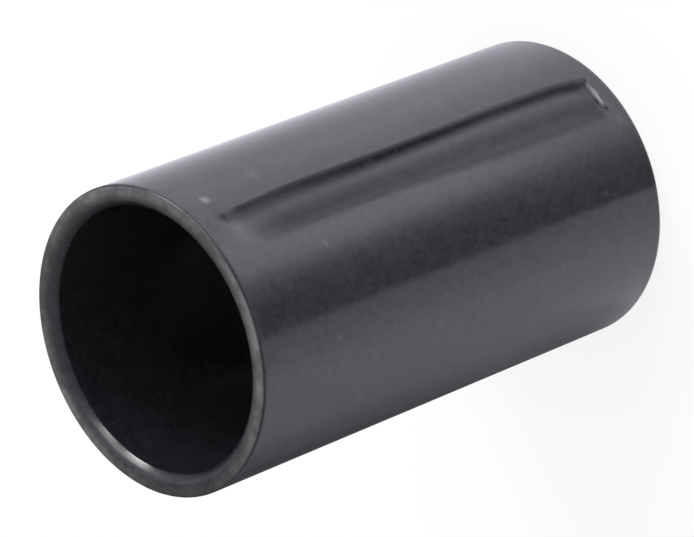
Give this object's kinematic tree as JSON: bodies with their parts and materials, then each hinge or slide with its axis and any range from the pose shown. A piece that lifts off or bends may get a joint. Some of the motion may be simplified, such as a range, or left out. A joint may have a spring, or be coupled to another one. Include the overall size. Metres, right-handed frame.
{
  "type": "conduit coupler",
  "caption": "Plain black coupler for round conduit: a short tube with a socket in each end and a stop ring between them.",
  "frame": {"origin": "centre of the lower end face, on the axis", "axes": "+Z along the axis, up out of the upper socket; the shallow strip along the wall faces -Y"},
  "size_m": [0.0236, 0.0236, 0.0428],
  "materials": {
    "black_pvc": "rigid PVC, black, satin as moulded"
  },
  "bodies": {
    "root": {"coupler_body": "black_pvc"}
  },
  "joints": []
}
